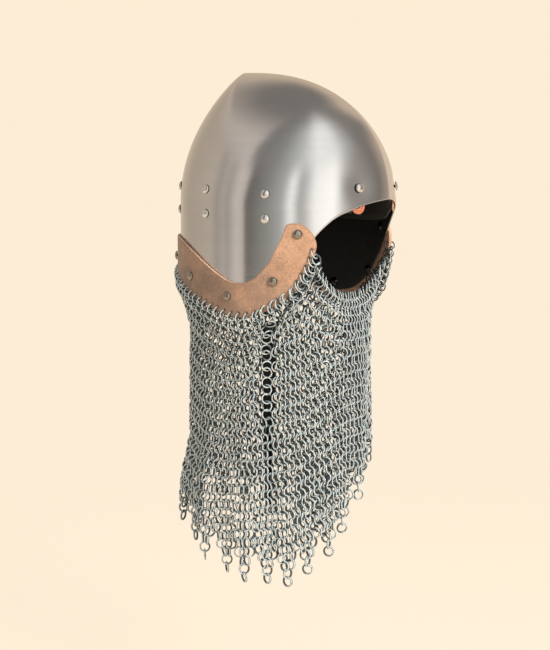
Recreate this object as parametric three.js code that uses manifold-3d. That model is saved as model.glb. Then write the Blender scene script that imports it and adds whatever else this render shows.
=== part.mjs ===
// An open-faced bascinet: a riveted steel skull, a leather band round its lower rim, a mail aventail that
// hangs from the band by its own row of links, and a leather liner held up inside on riveted tabs.
// Millimetres, +Z up. The wearer looks along -Y, and the wearer's right is at -X. The origin is the seat of
// the wearer's head, in the middle of the liner's crown ring.
// A place on the helmet's wall is given by an angle round it (0 at the brow, 90 at the wearer's right,
// 180 at the nape, in degrees) and a level above the wall's widest line.

import * as THREE from "three";
import { mergeVertices } from "three/addons/utils/BufferGeometryUtils.js";
import Module from "manifold-3d";

const wasm = await Module();
wasm.setup();

// Skull: the steel shell
const skullLength = 240;
const skullWidth = 198.8;
const skullHeight = 130.6;
const apexSetBack = 51.6;
const skullWall = 1.6;
const skirtDepth = 100;
const frontRisePower = 2.18;
const frontSwellPower = 2.37;
const backRisePower = 2.13;
const sideRisePower = 1.6;
const sideSwellPower = 1.47;
const ridgeDriftPower = 1.7;
const quarterSweep = 80;
const rimShares = [
  [0, -0.042], [7.5, -0.027], [14, -0.006], [20.5, 0.025], [26, 0.063], [32, 0.108], [37, 0.168], [43, 0.27],
  [48.5, 0.395], [53.5, 0.52], [59, 0.64], [64.5, 0.76], [72, 0.88], [80, 0.96], [90, 0.985], [100, 0.955],
  [111, 0.875], [129.5, 0.76], [151, 0.635], [180, 0.55],
];

// Clearances
const seat = 0.5;
const tabSeat = 0.7;
const holeClearance = 0.5;
const cutOverrun = 5;

// Aventail band: leather, riveted round the outside of the skull's rim
const bandWall = 3;
const bandStartAngle = 44.6;
const bandTopShares = [
  [44.6, 0.36], [45.5, 0.315], [46.7, 0.272], [48.4, 0.234], [50.7, 0.2], [53.5, 0.18], [57, 0.178],
  [60, 0.2], [62, 0.31], [65, 0.42], [68, 0.535], [71, 0.61], [75, 0.69], [79, 0.74], [83.5, 0.764], [88.5, 0.764],
  [93, 0.738], [98, 0.693], [110, 0.571], [120.5, 0.474], [129, 0.418], [138, 0.38], [150, 0.36],
  [180, 0.35],
];
const bandLowShares = [
  [44.6, 0.42], [45.6, 0.48], [47, 0.558], [49.4, 0.645], [52.8, 0.757], [58, 0.872], [63.5, 0.953],
  [69, 1.019], [77, 1.089], [86.5, 1.104], [96, 1.069], [111, 0.979], [129.5, 0.859], [151, 0.739], [180, 0.649],
];
const linkHoleInset = 4.4;
const linkHoleRadius = 1.8;
const bandCrowdShare = 0.09;

// Mail aventail: linked rings, shown as one hanging net of coarse openings with its row of hanging links
const linkRadius = 5;
const linkWire = 1.5;
const mailColumns = 96;
const columnsPerDag = 4;
const firstLinkColumn = 14;
const throatSag = 55;
const mailThickness = 4;
const mailWidth = 168;
const mailLength = 188;
const mailSetBack = 9;
const drawInDrop = 50;
const mailTopGap = 5.8;
const linkLeanShare = 0.45;
const foldDepth = 3;
const backFlare = 10;
const flareTopDrop = 235;
const flareFootDrop = 300;
const columnsPerFold = 8;
const columnsPerOpening = 4;
const openingRows = 7;
const openingTopShare = 0.07;
const openingFootShare = 0.03;
const openingHeightShare = 0.6;
const dagLength = 33;
const mailDepth = 381;
const bunchShares = [-0.153, 0.05];
const dagTipShares = [
  [-180, 0.835], [-147, 0.866], [-118, 0.93], [-95, 0.955], [-80, 0.9], [-70, 0.84], [-58, 0.785],
  [-45, 0.745], [-33, 0.714], [-20, 0.709], [-10, 0.74], [0, 0.79], [14.5, 0.874], [29, 0.928],
  [42.5, 0.974], [56, 1], [69, 0.995], [84, 0.99], [108.5, 0.953], [147, 0.866], [180, 0.835],
];

// Liner tabs: leather straps that carry the liner
const tabWall = 2;
const tabWidth = 14;
const tabEndShare = 0.5;
const tabPitch = 24;
const browTabPitch = 18.5;
const browTabLevel = 16;
const templeTabLevel = 10.5;
const sideTabLevel = 14;
const napeTabLevel = 15;
const tabEnds = [
  { name: "brow", angle: 20.3, level: browTabLevel, pitch: browTabPitch, rivets: 1 },
  { name: "temple", angle: 71, level: templeTabLevel, pitch: tabPitch, rivets: 2 },
  { name: "side", angle: 109, level: sideTabLevel, pitch: tabPitch, rivets: 2 },
  { name: "nape", angle: 154, level: napeTabLevel, pitch: tabPitch, rivets: 2 },
];

// Liner: a leather headband cut into fingers, which a lace gathers at the crown
const linerWall = 2.2;
const headbandTop = 26;
const headbandLowLevels = 22;
const headbandLowShares = [
  [0, -0.36], [14, -0.1], [18, 0], [24, 0.38], [28, 0.38], [33, 0.52], [45, 0.86], [71, 1], [109, 0.8],
  [180, 0.76],
];
const crownRoom = 35;
const crownRadius = 28;
const hemRadius = 4;
const laceRadius = 1.5;
const laceClearance = 0.3;
const knotRadius = 3.2;
const laceEnd = 16;
const fingerCount = 8;
const slotWidth = 8;
const slotReachShare = 0.86;
const archSpanShare = 0.84;
const archRiseShare = 0.67;

// Rivets
const shankRadius = 1.5;
const headRadius = 4.25;
const headHeight = 2.6;
const tailRadius = 2.8;
const tailHeight = 1.3;
const domeShares = [0.66, 0.75];
const bandRivets = [[54, 0.28], [66.5, 0.74], [92, 0.9], [121, 0.735], [150.5, 0.565]];

// Depths of the layers inside the skull's outer face, each worked out from the one outside it, and the level
// of the liner's crown ring under the apex
const tabDepth = skullWall + tabSeat;
const linerDepth = tabDepth + tabWall + seat;
const linerBackDepth = linerDepth + linerWall;
const bandDepth = -(bandWall + seat);
const crownLevel = skullHeight - skullWall - crownRoom;

const steel = new THREE.MeshStandardMaterial({ color: 0xb9bbbb, roughness: 0.32, metalness: 1 });
const mailSteel = new THREE.MeshStandardMaterial({ color: 0x9aa3a3, roughness: 0.4, metalness: 1 });
const tanLeather = new THREE.MeshStandardMaterial({ color: 0xc08a62, roughness: 0.8, metalness: 0 });
const orangeLeather = new THREE.MeshStandardMaterial({ color: 0xc46f42, roughness: 0.75, metalness: 0 });
const rivetSteel = new THREE.MeshStandardMaterial({ color: 0xa9a7a2, roughness: 0.35, metalness: 1 });
const cordFibre = new THREE.MeshStandardMaterial({ color: 0x5a4636, roughness: 0.9, metalness: 0 });

const radians = THREE.MathUtils.degToRad;
const lerp = THREE.MathUtils.lerp;

// A smooth curve through a table of [angle, share] pairs, read at an angle.
function readTable(table, angle) {
  const last = table.length - 1;
  const at = THREE.MathUtils.clamp(angle, table[0][0], table[last][0]);
  let i = 0;
  while (i < last - 1 && at > table[i + 1][0]) i++;
  const slope = (j) => {
    const a = table[Math.max(j - 1, 0)];
    const b = table[Math.min(j + 1, last)];
    return (b[1] - a[1]) / (b[0] - a[0]);
  };
  const span = table[i + 1][0] - table[i][0];
  const f = (at - table[i][0]) / span;
  const rise = table[i + 1][1] - table[i][1];
  const start = slope(i) * span;
  const end = slope(i + 1) * span;
  return table[i][1] + f * start + f * f * (3 * rise - 2 * start - end) + f * f * f * (start + end - 2 * rise);
}

// An angle as its distance from the brow, and the side of the helmet that it is on.
function foldAngle(angle) {
  const turned = THREE.MathUtils.euclideanModulo(angle + 180, 360) - 180;
  return { away: Math.abs(turned), side: turned < 0 ? 1 : -1 };
}

// A point of the skull's wall, so deep inside its outer face. Below the widest line the wall is upright.
// The plan is two arcs that meet in a keel at the brow and one that closes the nape, and each profile is a
// power curve that carries it up to the apex.
function wallPoint(angle, level, depth) {
  const rise = THREE.MathUtils.clamp(level / (skullHeight - depth), 0, 1);
  const half = skullLength / 2 - depth;
  const front = apexSetBack - (half + apexSetBack) * (1 - rise ** frontRisePower) ** (1 / frontSwellPower);
  const back = apexSetBack + (half - apexSetBack) * (1 - rise ** backRisePower);
  const middle = apexSetBack * rise ** ridgeDriftPower;
  const wide = (skullWidth / 2 - depth) * (1 - rise ** sideRisePower) ** (1 / sideSwellPower);
  const { away, side } = foldAngle(angle);
  const sweep = radians(quarterSweep);
  const turn = (sweep * Math.abs(90 - away)) / 90;
  const x = (side * wide * (Math.cos(turn) - Math.cos(sweep))) / (1 - Math.cos(sweep));
  const reach = (away <= 90 ? front : back) - middle;
  return new THREE.Vector3(x, middle + (reach * Math.sin(turn)) / Math.sin(sweep), level);
}

// The outward direction of the wall at a place.
function wallNormal(angle, level) {
  const step = 0.5;
  const tiny = skullWall;
  const along = wallPoint(angle + step, level, 0).sub(wallPoint(angle - step, level, 0));
  const up = wallPoint(angle, level + tiny, 0).sub(wallPoint(angle, level - tiny, 0));
  return up.cross(along).normalize();
}

const rimLevel = (angle) => -skirtDepth * readTable(rimShares, foldAngle(angle).away);
const spread = (count, from, to) => Array.from({ length: count + 1 }, (_, i) => lerp(from, to, i / count));
const sideAngles = [7, 14, 20.3, 29, 36.5, 44, 52, 61.5, 71, 80, 90, 99.5, 109, 119, 130, 142, 154, 162.5, 171];
const wallAngles = [0, ...sideAngles, 180, ...sideAngles.map((angle) => 360 - angle).reverse()];

// A closed wall between an outer and an inner grid: place(u, v, inside) gives both. A ring of columns closes
// on itself, and an open one gets an edge at each end. A cell that isOpen names is a hole through the wall.
function closedSheet(us, vs, place, ring, isOpen = () => false) {
  const points = [];
  const index = [];
  const rows = vs.length;
  const columns = us.length;
  for (const inside of [0, 1])
    for (const u of us) for (const v of vs) points.push(...place(u, v, inside).toArray());
  const at = (inside, i, j) => inside * columns * rows + (i % columns) * rows + j;
  const quad = (a, b, c, d) => index.push(a, b, c, a, c, d);
  const spans = ring ? columns : columns - 1;
  for (let i = 0; i < spans; i++) {
    for (let j = 0; j < rows - 1; j++) {
      if (isOpen(i, j)) {
        const around = [[i, j], [i + 1, j], [i + 1, j + 1], [i, j + 1]];
        around.forEach(([a, b], side) => {
          const [c, d] = around[(side + 1) % around.length];
          quad(at(0, a, b), at(0, c, d), at(1, c, d), at(1, a, b));
        });
        continue;
      }
      quad(at(0, i, j), at(0, i + 1, j), at(0, i + 1, j + 1), at(0, i, j + 1));
      quad(at(1, i, j), at(1, i, j + 1), at(1, i + 1, j + 1), at(1, i + 1, j));
    }
    quad(at(0, i, 0), at(1, i, 0), at(1, i + 1, 0), at(0, i + 1, 0));
    quad(at(0, i, rows - 1), at(0, i + 1, rows - 1), at(1, i + 1, rows - 1), at(1, i, rows - 1));
  }
  if (!ring)
    for (let j = 0; j < rows - 1; j++) {
      quad(at(0, 0, j), at(0, 0, j + 1), at(1, 0, j + 1), at(1, 0, j));
      quad(at(0, spans, j), at(1, spans, j), at(1, spans, j + 1), at(0, spans, j + 1));
    }
  return new THREE.BufferGeometry()
    .setAttribute("position", new THREE.Float32BufferAttribute(points, 3))
    .setIndex(index);
}

// A closed geometry as a solid, with its flat triangles left out and its faces turned outwards.
function solidOf(geometry) {
  const bare = geometry.clone();
  bare.deleteAttribute("normal");
  bare.deleteAttribute("uv");
  const merged = mergeVertices(bare, 1e-3);
  const position = merged.attributes.position.array;
  let triVerts = [];
  for (let i = 0; i < merged.index.count; i += 3) {
    const [a, b, c] = merged.index.array.slice(i, i + 3);
    if (a !== b && b !== c && c !== a) triVerts.push(a, b, c);
  }
  const corner = (i) => new THREE.Vector3().fromArray(position, 3 * triVerts[i]);
  let volume = 0;
  for (let i = 0; i < triVerts.length; i += 3) volume += corner(i).dot(corner(i + 1).cross(corner(i + 2)));
  if (volume < 0) triVerts = triVerts.reverse();
  return new wasm.Manifold(
    new wasm.Mesh({ numProp: 3, vertProperties: position, triVerts: new Uint32Array(triVerts) }),
  );
}

function geometryOf(solid) {
  const mesh = solid.getMesh();
  const geometry = new THREE.BufferGeometry()
    .setAttribute("position", new THREE.BufferAttribute(mesh.vertProperties, 3))
    .setIndex(new THREE.BufferAttribute(mesh.triVerts, 1));
  geometry.computeVertexNormals();
  return geometry;
}

// Places a geometry that was made along +Z with its +Z along a direction.
function aimed(geometry, point, direction) {
  const turn = new THREE.Quaternion().setFromUnitVectors(new THREE.Vector3(0, 0, 1), direction);
  return geometry.applyQuaternion(turn).translate(...point.toArray());
}

const drill = (radius, length, sides) =>
  new THREE.CylinderGeometry(radius, radius, length, sides).rotateX(Math.PI / 2);

// Cuts a row of round holes square through the wall at each place.
function drilled(solid, places, radius, reach, sides) {
  return places.reduce((left, [angle, level]) => {
    const tool = aimed(drill(radius, reach, sides), wallPoint(angle, level, 0), wallNormal(angle, level));
    return left.subtract(solidOf(tool));
  }, solid);
}

const helmet = new THREE.Group();
helmet.name = "bascinet";

function addMesh(name, geometry, material) {
  const mesh = new THREE.Mesh(geometry, material);
  mesh.name = name;
  helmet.add(mesh);
  return mesh;
}

const bothSides = (places) => places.flatMap(([angle, level]) => [[angle, level], [-angle, level]]);
const tabRivetPlaces = (tab) =>
  [[tab.angle, tab.level], [tab.angle, tab.level - tab.pitch]].slice(0, tab.rivets);
const linerRivetPlaces = tabEnds.flatMap(tabRivetPlaces);
const bandRivetPlaces = bandRivets.map(([angle, share]) => [angle, -share * skirtDepth]);
const rivetHoleRadius = shankRadius + holeClearance;
const deepCut = 2 * (linerBackDepth + bandWall + cutOverrun);

function makeSkull() {
  const climbs = [-1, 0, 0.12, 0.27, 0.44, 0.61, 0.77, 0.89, 0.97, 1];
  const place = (angle, climb, inside) => {
    const depth = inside * skullWall;
    const rim = rimLevel(angle);
    return wallPoint(angle, climb < 0 ? rim : Math.max(rim, climb * (skullHeight - depth)), depth);
  };
  const shell = solidOf(closedSheet(wallAngles, climbs, place, true));
  const holes = bothSides([...linerRivetPlaces, ...bandRivetPlaces]);
  addMesh("skull", geometryOf(drilled(shell, holes, rivetHoleRadius, deepCut, 6)), steel);
}

const bandTop = (angle) => -skirtDepth * readTable(bandTopShares, foldAngle(angle).away);
const bandLow = (angle) => -skirtDepth * readTable(bandLowShares, foldAngle(angle).away);

// Where a value falls in a rising list: the index after it, and how far it is between the two there.
function findIn(rising, value) {
  const after = rising.findIndex((entry) => entry >= value);
  const i = after < 0 ? rising.length - 1 : Math.max(after, 1);
  return { i, f: (value - rising[i - 1]) / (rising[i] - rising[i - 1]) };
}

// The line of link holes: the band's lower edge, laid out flat, moved in by the holes' inset, and walked in
// equal steps from the foremost hole on the wearer's right to the one on the left.
function linkPlaces() {
  const flat = spread(720, bandStartAngle, 360 - bandStartAngle).map((angle) => {
    const wall = wallPoint(angle, -skirtDepth / 2, bandDepth + bandWall / 2);
    return { angle, wall, level: bandLow(angle), run: 0 };
  });
  for (let i = 1; i < flat.length; i++)
    flat[i].run = flat[i - 1].run + flat[i].wall.distanceTo(flat[i - 1].wall);
  const inset = flat.slice(1, -1).map((p, i) => {
    const next = flat[i + 2];
    const along = new THREE.Vector2(next.run - flat[i].run, next.level - flat[i].level).normalize();
    return {
      run: p.run - along.y * linkHoleInset,
      level: p.level + along.x * linkHoleInset,
      out: new THREE.Vector2(along.y, -along.x),
    };
  });
  let walked = 0;
  const steps = inset.map((p, i) => {
    const before = inset[Math.max(i - 1, 0)];
    walked += Math.hypot(p.run - before.run, p.level - before.level);
    return walked;
  });
  const count = mailColumns - 2 * firstLinkColumn;
  return spread(count, 0, walked).map((distance) => {
    const { i, f } = findIn(steps, distance);
    const run = lerp(inset[i - 1].run, inset[i].run, f);
    const at = findIn(flat.map((p) => p.run), run);
    return {
      angle: lerp(flat[at.i - 1].angle, flat[at.i].angle, at.f),
      level: lerp(inset[i - 1].level, inset[i].level, f),
      out: inset[i].out,
    };
  });
}

const links = linkPlaces();

function makeBand() {
  const count = 58;
  const crowded = (f) => f - bandCrowdShare * Math.sin(2 * Math.PI * f);
  const angles = spread(count, 0, 1).map((f) => lerp(bandStartAngle, 360 - bandStartAngle, crowded(f)));
  const place = (angle, f, inside) =>
    wallPoint(angle, lerp(bandLow(angle), bandTop(angle), f), lerp(bandDepth, -seat, inside));
  let band = solidOf(closedSheet(angles, [0, 1], place, false));
  band = drilled(band, bothSides(bandRivetPlaces), rivetHoleRadius, deepCut, 6);
  band = drilled(band, links.map((link) => [link.angle, link.level]), linkHoleRadius, deepCut, 4);
  addMesh("aventail_band", geometryOf(band), tanLeather);
}

// Where a hanging link lies: through its hole and down, leaning towards the band's edge.
function linkPose(link) {
  const normal = wallNormal(link.angle, -skirtDepth / 2);
  const tangent = new THREE.Vector3(0, 0, 1).cross(normal).negate();
  const down = tangent
    .multiplyScalar(linkLeanShare * link.out.x)
    .add(new THREE.Vector3(0, 0, linkLeanShare * (link.out.y + 1) - 1))
    .normalize();
  const hole = wallPoint(link.angle, link.level, bandDepth + bandWall / 2);
  return { hole, down, normal };
}

// The mail's hanging form. Column k starts under its link, or on the free edge that sags across the throat
// between the two foremost links, and is drawn in to an oval tube below. Its folds deepen as it falls, it
// flares at the back, and its foot ends in tapering dags. Rows of openings, each row half an opening along
// from the next as the rings are, show that it is a net.
function makeMail() {
  const columns = Array.from({ length: mailColumns }, (_, k) => k);
  const startOf = (k) => {
    const near = (k <= mailColumns / 2 ? k : k - mailColumns) / firstLinkColumn;
    const free = Math.abs(near) < 1;
    const { hole, down } = linkPose(links[free ? 0 : k - firstLinkColumn]);
    const top = hole.addScaledVector(down, linkHoleInset + mailTopGap);
    return free ? new THREE.Vector3(top.x * near, top.y, top.z - throatSag * (1 - near * near)) : top;
  };
  const starts = columns.map(startOf);
  const tubeAngle = (k) => {
    const even = (2 * Math.PI * k) / mailColumns;
    const bunched = even + bunchShares[0] * Math.sin(even) + bunchShares[1] * Math.sin(2 * even);
    return THREE.MathUtils.radToDeg(bunched > Math.PI ? bunched - 2 * Math.PI : bunched);
  };
  const place = (k, row, inside) => {
    const start = starts[k];
    const angle = radians(tubeAngle(k));
    const tip = -mailDepth * readTable(dagTipShares, tubeAngle(k));
    const halfDag = columnsPerDag / 2;
    const fromTip = Math.abs(((k + halfDag) % columnsPerDag) - halfDag) / halfDag;
    const foot = tip + dagLength;
    const level = row > 1 ? tip + dagLength * fromTip : lerp(start.z, foot, row);
    const drawn = THREE.MathUtils.smoothstep(start.z - level, 0, drawInDrop);
    const out = new THREE.Vector3(-Math.sin(angle) / mailWidth, -Math.cos(angle) / mailLength, 0).normalize();
    const fold = foldDepth * Math.cos((2 * Math.PI * k) / columnsPerFold);
    const sink = THREE.MathUtils.smoothstep(start.z - level, drawInDrop, mailDepth - skirtDepth);
    const backward = (1 - Math.cos(angle)) / 2;
    const flare = backFlare * backward * THREE.MathUtils.smoothstep(-level, flareTopDrop, flareFootDrop);
    const tube = new THREE.Vector3(
      (-mailWidth / 2) * Math.sin(angle),
      mailSetBack - (mailLength / 2) * Math.cos(angle),
      level,
    ).addScaledVector(out, fold * sink + flare);
    return new THREE.Vector3(start.x, start.y, level)
      .lerp(tube, drawn)
      .addScaledVector(out, (mailThickness / 2) * (1 - 2 * inside));
  };
  const openingStep = (1 - openingTopShare - openingFootShare) / openingRows;
  const openings = Array.from({ length: openingRows }, (_, row) => openingTopShare + row * openingStep);
  const openingEdges = openings.flatMap((top) => [top, top + openingStep * openingHeightShare]);
  const edgeColumns = columns.filter((k) => k % (columnsPerOpening / 2) === 0);
  const isOpen = (i, j) => j % 2 === 1 && j < 2 * openingRows && (i + (j - 1) / 2) % 2 === 0;
  let mail = solidOf(closedSheet(edgeColumns, [0, ...openingEdges, 1, 2], place, true, isOpen));
  for (const link of links) {
    const { hole, down, normal } = linkPose(link);
    const across = down.clone().cross(normal);
    const basis = new THREE.Matrix4().makeBasis(down, normal, across);
    const ring = new THREE.TorusGeometry(linkRadius, linkWire / 2, 3, 7).applyMatrix4(basis);
    ring.translate(...hole.addScaledVector(down, linkRadius).toArray());
    mail = mail.add(solidOf(ring));
  }
  addMesh("mail_aventail", geometryOf(mail), mailSteel);
}

// A strap laid against the inside of the wall, with rounded ends and a hole for each of its two fixings.
function makeTab(tab, side, name) {
  const half = tabWidth / 2;
  const low = tab.level - tab.pitch - half;
  const high = tab.level + half;
  const perDegree = wallPoint(tab.angle + 0.5, 0, tabDepth).distanceTo(wallPoint(tab.angle - 0.5, 0, tabDepth));
  const levels = [low, low + tabEndShare * half, 0, high - tabEndShare * half, high];
  const place = (u, level, inside) => {
    const end = Math.max(0, low + half - level, level - high + half);
    const reach = Math.max(Math.sqrt(Math.max(half * half - end * end, 0)), tabEndShare * half);
    return wallPoint(side * tab.angle + (u * reach) / perDegree, level, tabDepth + inside * tabWall);
  };
  const holes = [tab.level, tab.level - tab.pitch].map((level) => [side * tab.angle, level]);
  const strap = solidOf(closedSheet([-1, 0, 1], levels, place, false));
  addMesh(name, geometryOf(drilled(strap, holes, rivetHoleRadius, deepCut, 6)), orangeLeather);
}

// A rivet along +Z, whose zero is the skull's outer face: a domed head, a shank and a peened tail.
function rivetGeometry(headSeat, tailSeat) {
  const profile = [
    [0, headSeat + headHeight],
    [domeShares[0] * headRadius, headSeat + domeShares[1] * headHeight],
    [headRadius, headSeat],
    [shankRadius, headSeat],
    [shankRadius, tailSeat],
    [tailRadius, tailSeat],
    [0, tailSeat - tailHeight],
  ];
  const points = profile.map(([radius, height]) => new THREE.Vector2(radius, height)).reverse();
  return new THREE.LatheGeometry(points, 6).rotateX(Math.PI / 2);
}

function addFixing(name, geometry, angle, level, material) {
  const mesh = addMesh(name, geometry, material);
  mesh.position.copy(wallPoint(angle, level, 0));
  mesh.quaternion.setFromUnitVectors(new THREE.Vector3(0, 0, 1), wallNormal(angle, level));
}

function makeFixings() {
  const linerRivet = rivetGeometry(seat, -(linerBackDepth + seat));
  const bandRivet = rivetGeometry(bandWall + 2 * seat, -(skullWall + seat));
  for (const [side, hand] of [[1, "right"], [-1, "left"]]) {
    for (const tab of tabEnds) {
      makeTab(tab, side, "liner_tab_" + tab.name + "_" + hand);
      tabRivetPlaces(tab).forEach(([angle, level], i) => {
        const end = tab.name + "_" + ["upper", "lower"][i] + "_" + hand;
        addFixing("liner_rivet_" + end, linerRivet.clone(), side * angle, level, rivetSteel);
      });
    }
    bandRivetPlaces.forEach(([angle, level], i) =>
      addFixing("band_rivet_" + (i + 1) + "_" + hand, bandRivet.clone(), side * angle, level, rivetSteel),
    );
  }
}

const crownRing = (radius, sides) =>
  new THREE.TorusGeometry(crownRadius, radius, sides, 20).translate(0, 0, crownLevel);

function makeLiner() {
  const headbandLow = (angle) => -headbandLowLevels * readTable(headbandLowShares, foldAngle(angle).away);
  const place = (angle, row, inside) => {
    const depth = linerDepth + inside * linerWall;
    if (row < 0) return wallPoint(angle, headbandLow(angle), depth);
    if (row <= 1) return wallPoint(angle, Math.max(headbandLow(angle), row * headbandTop), depth);
    const base = wallPoint(angle, headbandTop, depth);
    const drop = inside * linerWall;
    const turn = radians(angle);
    const end = new THREE.Vector3(-crownRadius * Math.sin(turn), -crownRadius * Math.cos(turn), 0);
    end.z = crownLevel + linerWall / 2 - drop;
    const bend = base.clone().lerp(end, 1 - archSpanShare);
    bend.z = lerp(headbandTop, crownLevel, archRiseShare) - drop / 2;
    const f = row - 1;
    return base
      .multiplyScalar((1 - f) ** 2)
      .addScaledVector(bend, 2 * f * (1 - f))
      .addScaledVector(end, f * f);
  };
  let liner = solidOf(closedSheet(wallAngles, [-1, 0, 0.5, 1, 1.4, 2], place, true));
  liner = liner.add(solidOf(crownRing(hemRadius, 5))).subtract(solidOf(crownRing(laceRadius + laceClearance, 5)));
  for (let i = 0; i < fingerCount; i++) {
    const wall = wallPoint((360 * i) / fingerCount, headbandTop, linerDepth);
    const reach = slotReachShare * Math.hypot(wall.x, wall.y);
    const outline = new THREE.Shape()
      .moveTo(0, -slotWidth / 2)
      .lineTo(reach, -slotWidth / 2)
      .absarc(reach, 0, slotWidth / 2, -Math.PI / 2, Math.PI / 2)
      .lineTo(0, slotWidth / 2);
    const slot = new THREE.ExtrudeGeometry(outline, {
      depth: skullHeight - headbandTop,
      bevelEnabled: false,
      curveSegments: 2,
    });
    slot.rotateZ(Math.atan2(wall.y, wall.x)).translate(0, 0, headbandTop);
    liner = liner.subtract(solidOf(slot));
  }
  liner = drilled(liner, bothSides(linerRivetPlaces), rivetHoleRadius, deepCut, 6);
  addMesh("liner", geometryOf(liner), tanLeather);
}

// The lace runs round through the fingers' hems and is knotted in the gap over the brow.
function makeLace() {
  const knot = new THREE.Vector3(0, -crownRadius, crownLevel);
  let lace = solidOf(crownRing(laceRadius, 5));
  lace = lace.add(solidOf(new THREE.IcosahedronGeometry(knotRadius, 0).translate(...knot.toArray())));
  for (const side of [-1, 1]) {
    const along = new THREE.Vector3(0.45 * side, -0.15, 0.88).normalize();
    const end = aimed(drill(laceRadius, laceEnd, 6), knot.clone().addScaledVector(along, laceEnd / 2), along);
    lace = lace.add(solidOf(end));
  }
  addMesh("crown_lace", geometryOf(lace), cordFibre);
}

makeSkull();
makeBand();
makeMail();
makeFixings();
makeLiner();
makeLace();
helmet.position.z = hemRadius - crownLevel;

export default helmet;
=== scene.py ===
"""The looks of an open-faced bascinet: a brushed steel skull, a tan leather band riveted round its rim, a mail
aventail that hangs from the band by its own row of links, and a leather liner inside.

Metres, +Z up. The wearer looks along -Y, and the wearer's right is at -X. A place on the helmet's wall is given by
an angle round it in degrees (0 at the brow, 90 at the wearer's right, 180 at the nape), a level above the wall's
widest line, and a depth inside its outer face.
"""

import math

import bpy
import numpy as np
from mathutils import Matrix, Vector, geometry


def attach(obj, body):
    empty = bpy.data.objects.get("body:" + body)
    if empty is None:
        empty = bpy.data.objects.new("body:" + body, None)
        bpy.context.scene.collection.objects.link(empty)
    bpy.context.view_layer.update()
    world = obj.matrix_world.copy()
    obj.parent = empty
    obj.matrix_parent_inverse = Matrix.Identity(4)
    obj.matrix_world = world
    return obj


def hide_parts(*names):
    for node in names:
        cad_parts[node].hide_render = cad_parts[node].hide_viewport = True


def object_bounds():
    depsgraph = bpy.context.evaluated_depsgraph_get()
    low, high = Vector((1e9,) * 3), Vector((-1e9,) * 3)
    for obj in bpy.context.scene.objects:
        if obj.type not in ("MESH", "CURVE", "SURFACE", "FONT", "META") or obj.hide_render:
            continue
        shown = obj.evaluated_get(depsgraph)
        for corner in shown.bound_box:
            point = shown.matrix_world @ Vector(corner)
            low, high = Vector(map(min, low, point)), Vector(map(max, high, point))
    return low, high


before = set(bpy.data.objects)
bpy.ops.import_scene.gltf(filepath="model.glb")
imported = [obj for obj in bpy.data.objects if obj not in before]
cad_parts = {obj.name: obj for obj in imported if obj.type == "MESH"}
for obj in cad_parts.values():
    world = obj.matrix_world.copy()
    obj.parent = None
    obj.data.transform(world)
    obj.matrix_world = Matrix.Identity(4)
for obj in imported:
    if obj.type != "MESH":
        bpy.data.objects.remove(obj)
cad_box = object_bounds()

# Camera: three quarters from the wearer's right and a little above the mail, at the photograph's viewing angle.
# The lens is a long one, so the near and far sides of the mail hang almost parallel.
view_turn = math.radians(57)
view_climb = math.radians(5.5)
view_distance = 1.8
view_target = Vector((0, 0, -0.19))
photo_width_px = 550
photo_height_px = 650
focal_px = 1751
target_right_px = 287.35
target_down_px = 298.13
sensor_side = 36
near_limit = 0.05
level_share = math.cos(view_climb)
toward_camera = Vector((-math.sin(view_turn) * level_share, -math.cos(view_turn) * level_share, math.sin(view_climb)))
camera = bpy.data.objects.new("camera", bpy.data.cameras.new("camera"))
bpy.context.scene.collection.objects.link(camera)
bpy.context.scene.camera = camera
camera.location = view_target + toward_camera * view_distance
camera.rotation_euler = toward_camera.to_track_quat("Z", "Y").to_euler()
camera.data.sensor_width = sensor_side
camera.data.lens = focal_px / photo_height_px * sensor_side
camera.data.shift_x = (photo_width_px / 2 - target_right_px) / photo_height_px
camera.data.shift_y = (target_down_px - photo_height_px / 2) / photo_height_px
camera.data.clip_start = near_limit
bpy.context.scene.view_settings.view_transform = "Standard"

# Studio: a pale cream room with soft lamps. The steel mirrors soft panels round the room, with a dark screen among
# them, other panels from panel_change up, and a dark ceiling. The camera sees plain cream behind and below the
# helmet. A panel is a share of a turn, with the camera's direction at 0.5, and its colour.
cream = (0.982, 0.846, 0.672, 1)
room_light = 0.4
low_panels = [
    (0.0, (0.77, 0.61, 0.45)), (0.13, (0.58, 0.49, 0.39)), (0.236, (0.66, 0.57, 0.48)), (0.262, (0.48, 0.43, 0.38)),
    (0.28, (0.63, 0.56, 0.5)), (0.297, (0.5, 0.45, 0.41)), (0.325, (0.86, 0.77, 0.7)), (0.345, (0.78, 0.7, 0.63)),
    (0.352, (0.17, 0.155, 0.14)), (0.375, (0.26, 0.24, 0.22)), (0.417, (0.4, 0.4, 0.38)), (0.452, (0.6, 0.6, 0.58)),
    (0.475, (1.5, 1.47, 1.42)), (0.497, (0.55, 0.55, 0.53)), (0.514, (0.8, 0.79, 0.77)), (0.537, (1.45, 1.43, 1.38)),
    (0.59, (1.65, 1.62, 1.55)), (0.622, (0.75, 0.73, 0.7)), (0.65, (0.48, 0.44, 0.41)), (0.73, (0.27, 0.24, 0.22)),
    (0.8, (0.85, 0.68, 0.53)), (0.889, (0.93, 0.74, 0.57)), (1.0, (0.77, 0.61, 0.45)),
]
high_panels = [
    (0.0, (0.77, 0.61, 0.45)), (0.2, (0.66, 0.57, 0.5)), (0.3, (0.8, 0.72, 0.65)), (0.322, (0.78, 0.7, 0.64)),
    (0.332, (0.25, 0.23, 0.22)), (0.41, (0.37, 0.37, 0.36)), (0.475, (0.72, 0.73, 0.7)), (0.536, (1.35, 1.34, 1.3)),
    (0.6, (1.2, 1.19, 1.16)), (0.642, (0.68, 0.67, 0.65)), (0.7, (0.33, 0.3, 0.28)), (0.79, (0.3, 0.27, 0.25)),
    (0.85, (0.85, 0.68, 0.53)), (1.0, (0.77, 0.61, 0.45)),
]
panel_change = (0.56, 0.76)
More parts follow.
